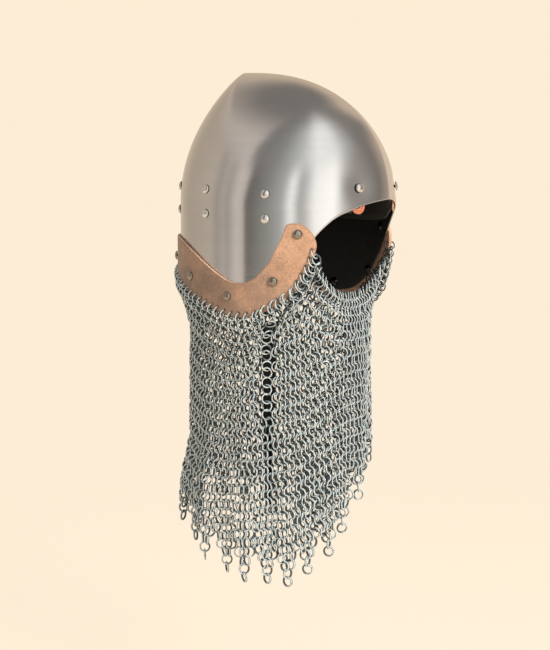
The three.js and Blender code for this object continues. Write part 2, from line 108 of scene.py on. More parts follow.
ceiling_middle = (-0.2, -0.12, 0.972)
ceiling_edge = (0.87, 0.97)
ceiling_colour = (0.27, 0.25, 0.235)
floor_drop = 0.13
floor_radius = 2.4
floor_sides = 96
floor_fade = (0.55, 1.6)
floor_glow = 0.93


def nodes_of(owner):
    """Empties the node tree of a material or world and returns its adder, which adds a node of a kind and returns
    its outputs. A setting is an input by name, or by number after an i, or a property after an underscore."""
    owner.use_nodes = True
    tree = owner.node_tree
    tree.nodes.clear()

    def add(kind, **settings):
        node = tree.nodes.new(kind)
        for name, value in settings.items():
            if name[0] == "_":
                setattr(node, name[1:], value)
                continue
            socket = node.inputs[int(name[1:]) if name[1:].isdigit() else name.replace("_", " ")]
            if isinstance(value, bpy.types.NodeSocket):
                tree.links.new(value, socket)
            else:
                socket.default_value = value
        return node.outputs

    return add


def remap(add, value, low, high, to_low=0.0, to_high=1.0):
    """A value carried evenly from one range to another, and held at the ends."""
    return add("ShaderNodeMapRange", Value=value, From_Min=low, From_Max=high, To_Min=to_low, To_Max=to_high)[0]


def blended(add, share, first, second, blend="MIX"):
    """A mix, or another blend, of two colours by a share. Each is a plain colour or another node's output."""
    first, second = [(*c, 1) if isinstance(c, tuple) else c for c in (first, second)]
    return add("ShaderNodeMix", _data_type="RGBA", _blend_type=blend, i0=share, i6=first, i7=second)[2]


def colour_ramp(add, value, stops):
    """The colour at a value between stops, each a place from 0 to 1 and the colour there."""
    colour = add("ShaderNodeValToRGB", Fac=value)[0]
    elements = colour.node.color_ramp.elements
    elements.remove(elements[-1])
    for i, (place, rgb) in enumerate(stops):
        element = elements[0] if i == 0 else elements.new(place)
        element.position = place
        element.color = (*rgb, 1)
    return colour


world = bpy.data.worlds.new("studio")
bpy.context.scene.world = world
add = nodes_of(world)
room = add("ShaderNodeTexCoord")["Generated"]
turned_room = add("ShaderNodeMapping", Vector=room, Rotation=(0, 0, math.pi / 2 + view_turn))[0]
axes = add("ShaderNodeSeparateXYZ", Vector=turned_room)
round_room = add("ShaderNodeMath", _operation="ARCTAN2", i0=axes["Y"], i1=axes["X"])[0]
share_round = remap(add, round_room, -math.pi, math.pi)
low = colour_ramp(add, share_round, low_panels)
high = colour_ramp(add, share_round, high_panels)
panels = blended(add, remap(add, axes["Z"], *panel_change), low, high)
overhead = add("ShaderNodeVectorMath", _operation="DOT_PRODUCT", i0=turned_room, i1=ceiling_middle)["Value"]
roofed = blended(add, remap(add, overhead, *ceiling_edge), panels, ceiling_colour)
mirrored = add("ShaderNodeBackground", Color=roofed, Strength=1.0)[0]
lit = add("ShaderNodeBackground", Color=(1, 0.96, 0.9, 1), Strength=room_light)[0]
seen = add("ShaderNodeBackground", Color=cream, Strength=1.0)[0]
rays = add("ShaderNodeLightPath")
unseen = add("ShaderNodeMixShader", i0=rays["Is Glossy Ray"], i1=lit, i2=mirrored)[0]
straight = add("ShaderNodeMath", _operation="MAXIMUM", i0=rays["Is Camera Ray"], i1=rays["Is Transmission Ray"])[0]
add("ShaderNodeOutputWorld", Surface=add("ShaderNodeMixShader", i0=straight, i1=unseen, i2=seen)[0])


def add_lamp(name, place, side, watts, colour):
    """A square soft lamp at a place, turned towards the view's target and not mirrored itself."""
    lamp = bpy.data.objects.new(name, bpy.data.lights.new(name, "AREA"))
    bpy.context.scene.collection.objects.link(lamp)
    lamp.location = place
    lamp.rotation_euler = (Vector(place) - view_target).to_track_quat("Z", "Y").to_euler()
    lamp.data.size = side
    lamp.data.energy = watts
    lamp.data.color = colour
    lamp.visible_glossy = False


add_lamp("front_lamp", place=(-0.45, -1.9, 0.9), side=0.9, watts=64, colour=(1, 0.98, 0.95))
add_lamp("side_lamp", place=(-2.0, 0.4, 0.6), side=1.0, watts=10, colour=(1, 0.95, 0.88))
add_lamp("top_lamp", place=(0.1, 0.0, 1.9), side=1.2, watts=12, colour=(1, 0.97, 0.93))


def full_turn(steps):
    """Even steps of an angle once round, in radians."""
    return np.linspace(0, 2 * math.pi, steps, endpoint=False)


def put_mesh(name, points, faces):
    """Makes a smooth-shaded object in place from an array of points and an array or lists of faces."""
    mesh = bpy.data.meshes.new(name)
    mesh.from_pydata(points.reshape(-1, 3), [], faces.tolist() if isinstance(faces, np.ndarray) else faces)
    mesh.validate()
    mesh.polygons.foreach_set("use_smooth", np.ones(len(mesh.polygons), bool))
    made = bpy.data.objects.new(name, mesh)
    bpy.context.scene.collection.objects.link(made)
    return made


def new_material(name):
    """An empty material, its adder of nodes, and the outputs of its texture coordinates."""
    made = bpy.data.materials.new(name)
    add = nodes_of(made)
    return made, add, add("ShaderNodeTexCoord")


turn = full_turn(floor_sides)
floor_level = np.full(floor_sides, cad_box[0][2] - floor_drop)
edge = np.stack([floor_radius * np.cos(turn), floor_radius * np.sin(turn), floor_level], 1)
floor = put_mesh("studio_floor", edge, [list(range(floor_sides))])
floor.data.shade_flat()
paint, add, place = new_material("cream_floor")
spread = add("ShaderNodeVectorMath", _operation="LENGTH", i0=place["Object"])["Value"]
matt = add("ShaderNodeBsdfDiffuse", Color=(0.1, 0.086, 0.069, 1))[0]
glow = add("ShaderNodeEmission", Color=cream, Strength=floor_glow)[0]
near = add("ShaderNodeAddShader", i0=matt, i1=glow)[0]
away = add("ShaderNodeEmission", Color=cream, Strength=1.0)[0]
looked_at = add("ShaderNodeMixShader", i0=remap(add, spread, *floor_fade), i1=near, i2=away)[0]
bounce = add("ShaderNodeBsdfDiffuse", Color=(0.6, 0.52, 0.42, 1))[0]
rays = add("ShaderNodeLightPath")
sight = add("ShaderNodeMath", _operation="MAXIMUM", i0=rays["Is Camera Ray"], i1=rays["Is Glossy Ray"])[0]
add("ShaderNodeOutputMaterial", Surface=add("ShaderNodeMixShader", i0=sight, i1=bounce, i2=looked_at)[0])
floor.data.materials.append(paint)

# Skull: one plate of mild steel raised to a keeled point, its outside brushed level by level to a satin and its
# inside painted black. The rim is a plain cut edge with the burr taken off, and the plate is a little dented
# round the brow rivets. Shares are of the skirt's depth, against the angle from the brow.
skull_length = 0.240
skull_width = 0.1988
skull_height = 0.1306
apex_set_back = 0.0516
skull_wall = 0.0016
skirt_depth = 0.100
rim_rounding = 0.0005
quarter_sweep = math.radians(80)
front_lean = 2.18
front_bulge = 2.37
back_lean = 2.13
apex_lean = 1.7
side_lean = 1.6
side_bulge = 1.47
rim_shares = [
    (0, -0.042), (7.5, -0.027), (14, -0.006), (20.5, 0.025), (26, 0.063), (32, 0.108), (37, 0.168), (43, 0.27),
    (48.5, 0.395), (53.5, 0.52), (59, 0.64), (64.5, 0.76), (72, 0.88), (80, 0.96), (90, 0.985), (100, 0.955),
    (111, 0.875), (129.5, 0.76), (151, 0.635), (180, 0.55),
]
hem_radius = 0.004
crown_room = 0.035
crown_level = skull_height - skull_wall - crown_room
seat_level = crown_level - hem_radius
brow_dent_depth = 0.0015
brow_dent_radius = 0.0085
brow_rivet_angle = 20.3
brow_rivet_level = 0.016
skull_columns = 480
outer_rows = 108
inner_rows = 54
rim_steps = 4
crowding = 2.2
uv_girth = 0.68
slope_turn = 0.5


def unit(vectors):
    """Vectors brought to length 1."""
    return vectors / np.linalg.norm(vectors, axis=-1, keepdims=True)


def read_table(table, at):
    """A smooth curve through (place, share) pairs: cubic pieces whose slopes are the mean slopes at the pairs."""
    places, shares = np.array(table, float).T
    last = len(places) - 1
    before = np.maximum(np.arange(last + 1) - 1, 0)
    after = np.minimum(np.arange(last + 1) + 1, last)
    slope = (shares[after] - shares[before]) / (places[after] - places[before])
    at = np.clip(at, places[0], places[-1])
    i = np.clip(np.searchsorted(places, at) - 1, 0, last - 1)
    span = places[i + 1] - places[i]
    f = (at - places[i]) / span
    rise = shares[i + 1] - shares[i]
    start = slope[i] * span
    end = slope[i + 1] * span
    return shares[i] + f * start + f * f * (3 * rise - 2 * start - end) + f**3 * (start + end - 2 * rise)


def away_from_brow(angle):
    """How far round from the brow an angle is, in degrees, and +1 or -1 for its side in X."""
    turned = (np.asarray(angle, float) + 180) % 360 - 180
    return np.abs(turned), np.where(turned < 0, 1.0, -1.0)


def edge_level(shares, angle, reach=skirt_depth):
    """The level of an edge below the widest line, from its shares of a reach by the angle from the brow."""
    return -reach * read_table(shares, away_from_brow(angle)[0])


def wall_point(angle, level, depth=0.0):
    """Points of the skull's wall. Its plan is two arcs that meet in a keel at the brow and one that closes the
    nape: a sweep of a circle, stretched to the length and width at that level. Each profile is a power curve
    that leans back to the apex, and below the widest line the wall is upright."""
    angle, level, depth = np.broadcast_arrays(*[np.asarray(v, float) for v in (angle, level, depth)])
    rise = np.clip(level / (skull_height - depth), 0, 1)
    half = skull_length / 2 - depth
    front = apex_set_back - (half + apex_set_back) * (1 - rise**front_lean) ** (1 / front_bulge)
    back = apex_set_back + (half - apex_set_back) * (1 - rise**back_lean)
    middle = apex_set_back * rise**apex_lean
    wide = (skull_width / 2 - depth) * (1 - rise**side_lean) ** (1 / side_bulge)
    away, side = away_from_brow(angle)
    turn = quarter_sweep * np.abs(90 - away) / 90
    flat = math.cos(quarter_sweep)
    x = side * wide * (np.cos(turn) - flat) / (1 - flat)
    reach = np.where(away <= 90, front, back) - middle
    y = middle + reach * np.sin(turn) / math.sin(quarter_sweep)
    return np.stack([x, y, level - seat_level], -1)


def wall_normal(angle, level):
    """The outward direction of the wall, from its slopes along and up."""
    angle, level = np.broadcast_arrays(*[np.asarray(v, float) for v in (angle, level)])
    along = wall_point(angle + slope_turn, level) - wall_point(angle - slope_turn, level)
    up = wall_point(angle, level + skull_wall) - wall_point(angle, level - skull_wall)
    return unit(np.cross(up, along))


def grid_faces(columns, rows, ring=False):
    """Four-sided faces of a grid whose points run row by row inside each column."""
    i, j = np.meshgrid(np.arange(columns if ring else columns - 1), np.arange(rows - 1), indexing="ij")
    i, j = i.ravel(), j.ravel()
    k = (i + 1) % columns
    return np.stack([i * rows + j, k * rows + j, k * rows + j + 1, i * rows + j + 1], 1)


def give_uv(piece, u, v):
    """Writes a UV map from one pair of values for each point of the mesh."""
    mesh = piece.data
    corner = np.zeros(len(mesh.loops), int)
    mesh.loops.foreach_get("vertex_index", corner)
    layer = mesh.uv_layers.new(name="surface")
    layer.data.foreach_set("uv", np.stack([u[corner], v[corner]], 1).astype(np.float32).ravel())


def make_skull():
    """The outer face from the apex down, a rounded cut edge, and the inner face back up to the apex. Also says of
    each face whether it is painted, as all are from the cut edge inwards."""
    angles = np.linspace(0, 360, skull_columns, endpoint=False)
    turn = np.linspace(0, math.pi / 2, rim_steps)[1:-1]
    inset, lift = rim_rounding * (1 - np.cos(turn)), rim_rounding * (1 - np.sin(turn))
    rim = edge_level(rim_shares, angles)[:, None]
    foot = rim + rim_rounding
    climb = 1 - np.linspace(0, 1, outer_rows) ** crowding
    climb_in = 1 - np.linspace(0, 1, inner_rows)[::-1] ** crowding
    outer_level = foot + (skull_height - foot) * climb
    inner_level = foot + (skull_height - skull_wall - foot) * climb_in
    level = np.concatenate([outer_level, rim + np.concatenate([lift, lift[::-1]]), inner_level], 1)
    edge_depth = np.concatenate([inset, skull_wall - inset[::-1]])
    depth = np.concatenate([np.zeros(outer_rows), edge_depth, np.full(inner_rows, skull_wall)])
    points = wall_point(angles[:, None], level, depth)
    for side in (1, -1):
        rivet = wall_point(side * brow_rivet_angle, brow_rivet_level)
        gap = np.linalg.norm(points - rivet, axis=-1, keepdims=True)
        inward = -wall_normal(side * brow_rivet_angle, brow_rivet_level)
        points += inward * brow_dent_depth * np.exp(-((gap / brow_dent_radius) ** 2) / 2)
    rows = points.shape[1]
    made = put_mesh("steel_skull", points, grid_faces(skull_columns, rows, ring=True))
    give_uv(made, np.repeat(angles / 360 * uv_girth, rows), points[..., 2].ravel())
    return made, np.tile(np.arange(rows - 1) >= outer_rows + len(edge_depth) - 1, skull_columns)


def cloud(add, where, scale, detail, roughness=0.5):
    """The grey of a fractal noise."""
    return add("ShaderNodeTexNoise", Vector=where, Scale=scale, Detail=detail, Roughness=roughness)["Fac"]


def dents(add, height, strength, distance):
    """The normal of a surface that a grey raises and lowers."""
    return add("ShaderNodeBump", Height=height, Strength=strength, Distance=distance)[0]


def attribute(add, name):
    """The number that the mesh holds for each point under a name."""
    return add("ShaderNodeAttribute", _attribute_name=name)["Fac"]


def finish_surface(add, **inputs):
    """Ends a material with one physically based shader."""
    add("ShaderNodeOutputMaterial", Surface=add("ShaderNodeBsdfPrincipled", **inputs)[0])


def brushed_steel(name, colour, roughness, brushing):
    """Bare steel with fine level scratches: a noise stretched along the wall, for roughness and for bump. A
    broader one and a soft one vary the tone a little."""
    made, add, place = new_material(name)
    fine = add("ShaderNodeMapping", Vector=place["UV"], Scale=(24, 2600, 1))[0]
    scratches = cloud(add, fine, 1.0, 3.0, 0.6)
    broad = add("ShaderNodeMapping", Vector=place["UV"], Scale=(9, 190, 1))[0]
    bands = remap(add, cloud(add, broad, 1.0, 2.0), 0.3, 0.7, 0.985, 1.012)
    patches = remap(add, cloud(add, place["Object"], 22.0, 2.0), 0.3, 0.7, 0.97, 1.03)
    tone = add("ShaderNodeMath", _operation="MULTIPLY", i0=bands, i1=patches)[0]
    finish_surface(
        add,
        Base_Color=blended(add, 1.0, colour, tone, "MULTIPLY"),
        Metallic=1.0,
        Roughness=remap(add, scratches, 0.3, 0.7, roughness - 0.03, roughness + 0.04),
        Anisotropic=0.55,
        Anisotropic_Rotation=0.25,
        Normal=dents(add, scratches, brushing, 0.00012),
        Tangent=add("ShaderNodeTangent", _direction_type="UV_MAP", _uv_map="surface")[0],
    )
    return made


def black_paint():
    """Matt black paint over hammered steel, slightly uneven."""
    made, add, place = new_material("inside_paint")
    dapple = cloud(add, place["Object"], 160.0, 3.0)
    finish_surface(
        add,
        Base_Color=(0.006, 0.006, 0.006, 1),
        Roughness=remap(add, dapple, 0.3, 0.7, 0.5, 0.66),
        Normal=dents(add, dapple, 0.25, 0.0004),
    )
    return made


skull, painted = make_skull()
skull.data.materials.append(brushed_steel("skull_steel", (0.62, 0.61, 0.6), roughness=0.165, brushing=0.13))
skull.data.materials.append(black_paint())
skull.data.polygons.foreach_set("material_index", painted.astype(np.int32))
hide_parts("skull")
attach(skull, "root")

# Aventail band: 3 mm vegetable-tanned leather cut to one curved strip, laid round the outside of the rim, with a
# tongue that climbs the front edge on each side and a row of holes along its lower edge for the mail's top links.
# Its rivets are given by the angle from the brow and the share of the skirt's depth.
band_wall = 0.003
seat = 0.0005
band_depth = -(band_wall + seat)
band_start = 44.6
band_top_shares = [
    (44.6, 0.36), (45.5, 0.315), (46.7, 0.272), (48.4, 0.234), (50.7, 0.2), (53.5, 0.18), (57, 0.178),
    (60, 0.2), (62, 0.31), (65, 0.42), (68, 0.535), (71, 0.61), (75, 0.69), (79, 0.74), (83.5, 0.764),
    (88.5, 0.764), (93, 0.738), (98, 0.693), (110, 0.571), (120.5, 0.474), (129, 0.418), (138, 0.38), (150, 0.36),
    (180, 0.35),
]
band_low_shares = [
    (44.6, 0.42), (45.6, 0.48), (47, 0.558), (49.4, 0.645), (52.8, 0.757), (58, 0.872), (63.5, 0.953),
    (69, 1.019), (77, 1.089), (86.5, 1.104), (96, 1.069), (111, 0.979), (129.5, 0.859), (151, 0.739), (180, 0.649),
]
link_hole_inset = 0.0044
link_hole_radius = 0.0012
rivet_hole_radius = 0.002
mail_columns = 96
first_link_column = 14
link_count = mail_columns - 2 * first_link_column + 1
band_rivets = [(54, 0.28), (66.5, 0.74), (92, 0.9), (121, 0.735), (150.5, 0.565)]
flat_stops = 721
outline_stops = 560
band_mesh_gap = 0.0024
hole_sides = 14
triangle_rise = 0.866
edge_gap_share = 0.55
hole_radius_share = 0.97
cut_tolerance = 1e-7
leather_bevel = 0.0004
leather_bevel_angle = math.radians(50)
border_gain = 1.25
tan_light = (0.6, 0.345, 0.215)
tan_dark = (0.4, 0.23, 0.14)
tan_aged = (0.26, 0.18, 0.13)
# The band's rim colour below is painted shade: it darkens the leather near its cut edges and holes.
tan_rim_shade = (0.16, 0.085, 0.05)
# The band's inner colour below is painted light: a brighter tan for light falling on its inward side.
tan_inside_lit = (0.9, 0.52, 0.33)


def flat_band():
    """The band's strip laid out flat: angles round the wall and the run along the leather to each."""
    angle = np.linspace(band_start, 360 - band_start, flat_stops)
    wall = wall_point(angle, -skirt_depth / 2, band_depth + band_wall / 2)
    return angle, np.concatenate([[0], np.cumsum(np.linalg.norm(np.diff(wall, axis=0), axis=1))])


def link_places():
    """The holes for the mail: the flat lower edge, moved in by the inset and walked in equal steps. Returns each
    hole's angle and level, and the direction out of the leather's edge in the flat."""
    angle, run = flat_band()
    level = edge_level(band_low_shares, angle)
    along = unit(np.stack([run[2:] - run[:-2], level[2:] - level[:-2]], 1))
    inset_run = run[1:-1] - along[:, 1] * link_hole_inset
    inset_level = level[1:-1] + along[:, 0] * link_hole_inset
    walked = np.concatenate([[0], np.cumsum(np.hypot(np.diff(inset_run), np.diff(inset_level)))])
    stops = np.linspace(0, walked[-1], link_count)
    hole_run = np.interp(stops, walked, inset_run)
    out = np.stack([np.interp(stops, walked, along[:, 1]), -np.interp(stops, walked, along[:, 0])], 1)
    return np.interp(hole_run, run, angle), np.interp(stops, walked, inset_level), out


def inside_loop(points, loop):
    """Whether each flat point is inside a closed loop, by counting the loop's crossings to its right."""
    inside = np.zeros(len(points), bool)
    for (x1, y1), (x2, y2) in zip(loop, np.roll(loop, -1, axis=0)):
        if y1 != y2:
            between = (points[:, 1] > min(y1, y2)) & (points[:, 1] <= max(y1, y2))
            crossing = x1 + (points[:, 1] - y1) * (x2 - x1) / (y2 - y1)
            inside ^= between & (points[:, 0] < crossing)
    return inside


def nearest_gap(points, edge, batch=2000):
    """Each flat point's distance to the nearest point of the edge, in batches to spare memory."""
    starts = range(0, len(points), batch)
    return np.concatenate([np.linalg.norm(points[i : i + batch, None] - edge, axis=2).min(1) for i in starts])


def in_leather(points, outline, holes, share=1.0):
    """Whether each flat point is inside the outline and outside every hole, whose radius is taken by a share."""
    kept = inside_loop(points, outline)
    for centre, radius in holes:
        kept &= np.linalg.norm(points - centre, axis=1) > radius * share
    return kept


def give_values(piece, name, values):
    """Writes one number for each point of the mesh as a named attribute."""
    layer = piece.data.attributes.new(name, "FLOAT", "POINT")
    layer.data.foreach_set("value", values.astype(np.float32))


def thick_sheet(name, outer, inner, faces):
    """A closed sheet: the outer faces, the inner ones turned round, and a strip wherever an edge has one face.
    The strips get material slot 1 and the rest slot 0."""
    count = len(outer)
    start = faces.ravel()
    end = np.roll(faces, -1, axis=1).ravel()
    open_edge = ~np.isin(start.astype(np.int64) * count + end, end.astype(np.int64) * count + start)
    a, b = start[open_edge], end[open_edge]
    strip = np.stack([b, a, a + count, b + count], 1)
    every_face = faces.tolist() + (faces[:, ::-1] + count).tolist() + strip.tolist()
    made = put_mesh(name, np.concatenate([outer, inner]), every_face)
    normal = np.cross(outer[faces[:, 1]] - outer[faces[:, 0]], outer[faces[:, 2]] - outer[faces[:, 0]])
    if np.einsum("ij,ij->i", normal, (outer - inner)[faces[:, 0]]).sum() < 0:
        made.data.flip_normals()
    slots = np.concatenate([np.zeros(2 * len(faces)), np.ones(len(strip))]).astype(np.int32)
    made.data.polygons.foreach_set("material_index", slots)
    return made


def cut_leather(name, outline, holes, gap, place, depth, wall):
    """A flat pattern with round holes, meshed with even triangles, then laid on the wall with its thickness.
    outline is a closed loop of flat points, each hole a flat centre and radius, and place carries flat points to
    angles and levels. Cut edges get their own faces, the second material slot, and a small bevel."""
    turn = full_turn(hole_sides)
    loops = [outline] + [np.array(c) + r * np.stack([np.cos(turn), np.sin(turn)], 1) for c, r in holes]
    edge = np.concatenate(loops)
    low, high = outline.min(0), outline.max(0)
    columns, rows = np.arange(low[0], high[0], gap), np.arange(low[1], high[1], gap * triangle_rise)
    u, v = np.meshgrid(columns, rows, indexing="ij")
    u = u + (np.arange(len(rows)) % 2) * gap / 2
    fill = np.stack([u.ravel(), v.ravel()], 1)
    fill = fill[in_leather(fill, outline, holes) & (nearest_gap(fill, edge) > gap * edge_gap_share)]
    bounds, first = [], 0
    for loop in loops:
        index = np.arange(len(loop)) + first
        bounds += zip(index.tolist(), np.roll(index, -1).tolist())
        first += len(loop)
    result = geometry.delaunay_2d_cdt([Vector(p) for p in np.concatenate([edge, fill])], bounds, [], 0, cut_tolerance)
    flat = np.array([tuple(p) for p in result[0]])
    faces = np.array([tuple(f) for f in result[2]])
    faces = faces[in_leather(flat[faces].mean(1), outline, holes, hole_radius_share)]
    used, faces = np.unique(faces, return_inverse=True)
    faces = faces.reshape(-1, 3)
    flat = flat[used]
    one, two = flat[faces[:, 1]] - flat[faces[:, 0]], flat[faces[:, 2]] - flat[faces[:, 0]]
    turned = one[:, 0] * two[:, 1] - one[:, 1] * two[:, 0] < 0
    faces[turned] = faces[turned][:, ::-1]
    angle, level = place(flat)
    made = thick_sheet(name, wall_point(angle, level, depth), wall_point(angle, level, depth + wall), faces)
    give_values(made, "edge_gap", np.tile(nearest_gap(flat, edge), 2))
    give_values(made, "inward", np.repeat((0, 1), len(flat)))
    bevel = made.modifiers.new("eased edges", "BEVEL")
    bevel.width = leather_bevel
    bevel.segments = 2
    bevel.limit_method = "ANGLE"
    bevel.angle_limit = leather_bevel_angle
    return made


def leather(name, light, dark, nap, rim=None, aged=None, inner=None):
    """Leather: a cloudy mix of two tans, a fine grain for speckle, bump and sheen, and pores. rim is its colour
    along a cut edge, where the edge_gap attribute is small, paler than the leather if not given; a darker rim is
    painted shade along the edges. aged is the colour that it darkens to in patches and towards the nape, and inner
    a colour painted on its inward side for its light: lighter as painted light, darker as painted shade."""
    made, add, place = new_material(name)
    clouds = cloud(add, place["Object"], 38.0, 5.0, 0.65)
    grain = cloud(add, place["Object"], 620.0, 4.0, 0.75)
    pores = add("ShaderNodeTexVoronoi", Vector=place["Object"], Scale=900.0)["Distance"]
    base = blended(add, remap(add, clouds, 0.32, 0.68), dark, light)
    if aged:
        axes = add("ShaderNodeSeparateXYZ", Vector=place["Object"])
        back = remap(add, axes["Y"], -0.08, 0.09, 0.0, 0.62)
        patches = remap(add, cloud(add, place["Object"], 17.0, 6.0, 0.7), 0.45, 0.66, -0.12, 0.7)
        age = add("ShaderNodeMath", _operation="ADD", _use_clamp=True, i0=back, i1=patches)[0]
        base = blended(add, age, base, aged)
    # inner is painted light or painted shade on the inward side, as each caller gives it.
    if inner:
        base = blended(add, attribute(add, "inward"), base, inner)
    flecked = blended(add, 1.0, base, remap(add, grain, 0.3, 0.7, 0.7, 1.26), "MULTIPLY")
    # border is where the rim colour goes; a dark rim there is painted shade.
    border = remap(add, attribute(add, "edge_gap"), 0.0, 0.0018, 0.6, 0.0)
    rim = rim or tuple(min(1, c * border_gain) for c in light)
    height = add("ShaderNodeMath", _operation="MULTIPLY_ADD", i0=pores, i1=0.5, i2=grain)[0]
    finish_surface(
        add,
        Base_Color=blended(add, border, flecked, rim),
        Roughness=remap(add, clouds, 0.3, 0.7, 0.72, 0.9),
        Normal=dents(add, height, nap, 0.00025),
        Specular_IOR_Level=0.3,
        Sheen_Weight=0.15,
        Sheen_Roughness=0.6,
    )
    return made


def make_band():
    """The strip between its lower and top edges, with the links' holes and the rivets' on both sides."""
    angle, run = flat_band()
    hole_angle, hole_level, _ = link_places()
    holes = [((np.interp(a, angle, run), b), link_hole_radius) for a, b in zip(hole_angle, hole_level)]
    for rivet_angle, share in band_rivets:
        for a in (rivet_angle, 360 - rivet_angle):
            holes.append(((np.interp(a, angle, run), -share * skirt_depth), rivet_hole_radius))
    stops = np.interp(np.linspace(0, run[-1], outline_stops), run, angle)
    stop_run = np.interp(stops, angle, run)
    low = np.stack([stop_run, edge_level(band_low_shares, stops)], 1)
    high = np.stack([stop_run, edge_level(band_top_shares, stops)], 1)[::-1]
    return cut_leather(
        "leather_band",
        np.concatenate([low, high]),
        holes,
        band_mesh_gap,
        lambda flat: (np.interp(flat[:, 0], run, angle), flat[:, 1]),
        band_depth,
        band_wall,
    )


band = make_band()
# The band's rim colour is painted shade along its edges, and its inner colour painted light on its inward side.
band.data.materials.append(leather("band_leather", tan_light, tan_dark, 0.5, tan_rim_shade, tan_aged, tan_inside_lit))
band.data.materials.append(leather("band_cut_edge", (0.52, 0.33, 0.22), (0.38, 0.22, 0.14), 0.7))
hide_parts("aventail_band")
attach(band, "root")

# Rivets: mild steel, each a domed head over the outside, a shank through plate and leather, and a tail peened
# over a washer inside. Fourteen hold the liner's tabs and ten hold the band. A liner tab has a name, the angle and
# level of its upper rivet, the drop from there to its lower hole, and its count of rivets.
tab_seat = 0.0007
tab_wall = 0.002
liner_wall = 0.0022
tab_depth = skull_wall + tab_seat
liner_depth = tab_depth + tab_wall + seat
liner_back_depth = liner_depth + liner_wall
rivet_seat = 0.0001
shank_radius = 0.0015
head_radius = 0.0046
head_height = 0.0026
head_rim = 0.0003
dome_share = 0.88
dome_power = 0.9
dome_steps = 9
tail_radius = 0.0028
tail_height = 0.0013
washer_radius = 0.0046
washer_wall = 0.0006
# The painted shade at a rivet head's foot fades out over this height above its seat.
shade_height = 0.0013
rivet_sides = 28
tab_pitch = 0.024
brow_tab_pitch = 0.0185
liner_tabs = [
    ("brow", brow_rivet_angle, brow_rivet_level, brow_tab_pitch, 1),
    ("temple", 71, 0.0105, tab_pitch, 2),
    ("side", 109, 0.014, tab_pitch, 2),
    ("nape", 154, 0.015, tab_pitch, 2),
]


def turned_piece(name, profile, angle, level):
    """A profile of radius and height pairs turned round the wall's outward direction at a place on it."""
    turn = full_turn(rivet_sides)[:, None, None]
    out = wall_normal(angle, level)
    side = unit(np.cross(out, (0, 0, 1)))
    up = np.cross(side, out)
    radius, height = profile[:, :1], profile[:, 1:]
    points = wall_point(angle, level) + radius * (np.cos(turn) * side + np.sin(turn) * up) + height * out
    return put_mesh(name, points, grid_faces(rivet_sides, len(profile), ring=True))


def rivet_profile(head_seat, tail_seat):
    """From the crown of the head down to the tail's tip: a dome, a small foot, the shank, a washer, a low dome."""
    turn = np.linspace(0, math.pi / 2, dome_steps)
    dome_level = head_seat + head_rim + head_height * dome_share * np.cos(turn)
    dome = np.stack([head_radius * np.sin(turn) ** dome_power, dome_level], 1)
    low = tail_seat - washer_wall
    corners = [
        (head_radius, head_seat),
        (shank_radius, head_seat),
        (shank_radius, tail_seat),
        (washer_radius, tail_seat),
        (washer_radius, low),
        (tail_radius, low),
    ]
    tail = np.stack([tail_radius * np.cos(turn[1:]), low - tail_height * np.sin(turn[1:])], 1)
    return np.concatenate([dome, corners, tail])


def rivet_metal(name, colour, roughness):
    """Hand-finished rivet steel: small hammer flats in bump, and painted shade that darkens the head low down."""
    made, add, place = new_material(name)
    flats = add("ShaderNodeTexVoronoi", Vector=place["Object"], Scale=620.0, _feature="SMOOTH_F1")["Distance"]
    specks = cloud(add, place["Object"], 900.0, 3.0)
    shade = blended(add, 1.0, colour, remap(add, specks, 0.35, 0.7, 0.72, 1.08), "MULTIPLY")
    # painted shade: the attribute read here darkens the head towards its seat
    foot_shade = add("ShaderNodeMath", _operation="MULTIPLY", i0=attribute(add, "painted_shade"), i1=0.95)[0]
    finish_surface(
        add,
        Base_Color=blended(add, foot_shade, shade, (0.045, 0.04, 0.035)),
        Metallic=1.0,
        Roughness=remap(add, specks, 0.3, 0.7, roughness - 0.05, roughness + 0.06),
        Normal=dents(add, flats, 0.35, 0.0004),
    )
    return made


def add_rivet(node, head_seat, tail_seat, angle, level, metal):
    """One rivet in a node's place, its painted shade fullest where the head meets its seat."""
    profile = rivet_profile(head_seat, tail_seat)
    made = turned_piece("turned_" + node, profile, angle, level)
    painted_shade = np.clip(1 - (profile[:, 1] - head_seat) / shade_height, 0, 1)
    give_values(made, "painted_shade", np.tile(painted_shade, rivet_sides))
    made.data.materials.append(metal)
    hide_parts(node)
    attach(made, "root")


liner_rivet_steel = rivet_metal("liner_rivet_steel", (0.78, 0.76, 0.73), 0.08)
band_rivet_steel = rivet_metal("band_rivet_steel", (0.36, 0.315, 0.265), 0.12)
for side, hand in ((1, "right"), (-1, "left")):
    for tab, angle, level, pitch, rivets in liner_tabs:
        for end, drop in list(zip(("upper", "lower"), (0, pitch)))[:rivets]:
            node = f"liner_rivet_{tab}_{end}_{hand}"
            tail_seat = -liner_back_depth - rivet_seat
            add_rivet(node, rivet_seat, tail_seat, side * angle, level - drop, liner_rivet_steel)
    for number, (angle, share) in enumerate(band_rivets, 1):
        node = f"band_rivet_{number}_{hand}"
        head_seat = -band_depth + rivet_seat
        tail_seat = -skull_wall - rivet_seat
        add_rivet(node, head_seat, tail_seat, side * angle, -share * skirt_depth, band_rivet_steel)

# Liner tabs: eight orange-tan straps, 14 mm wide with round ends, riveted between the skull and the headband. The
# two at the brow keep an empty hole in their lower end, which shows just under the rim.
tab_width = 0.014
tab_mesh_gap = 0.0016
tab_end_steps = 19
tab_side_steps = 13


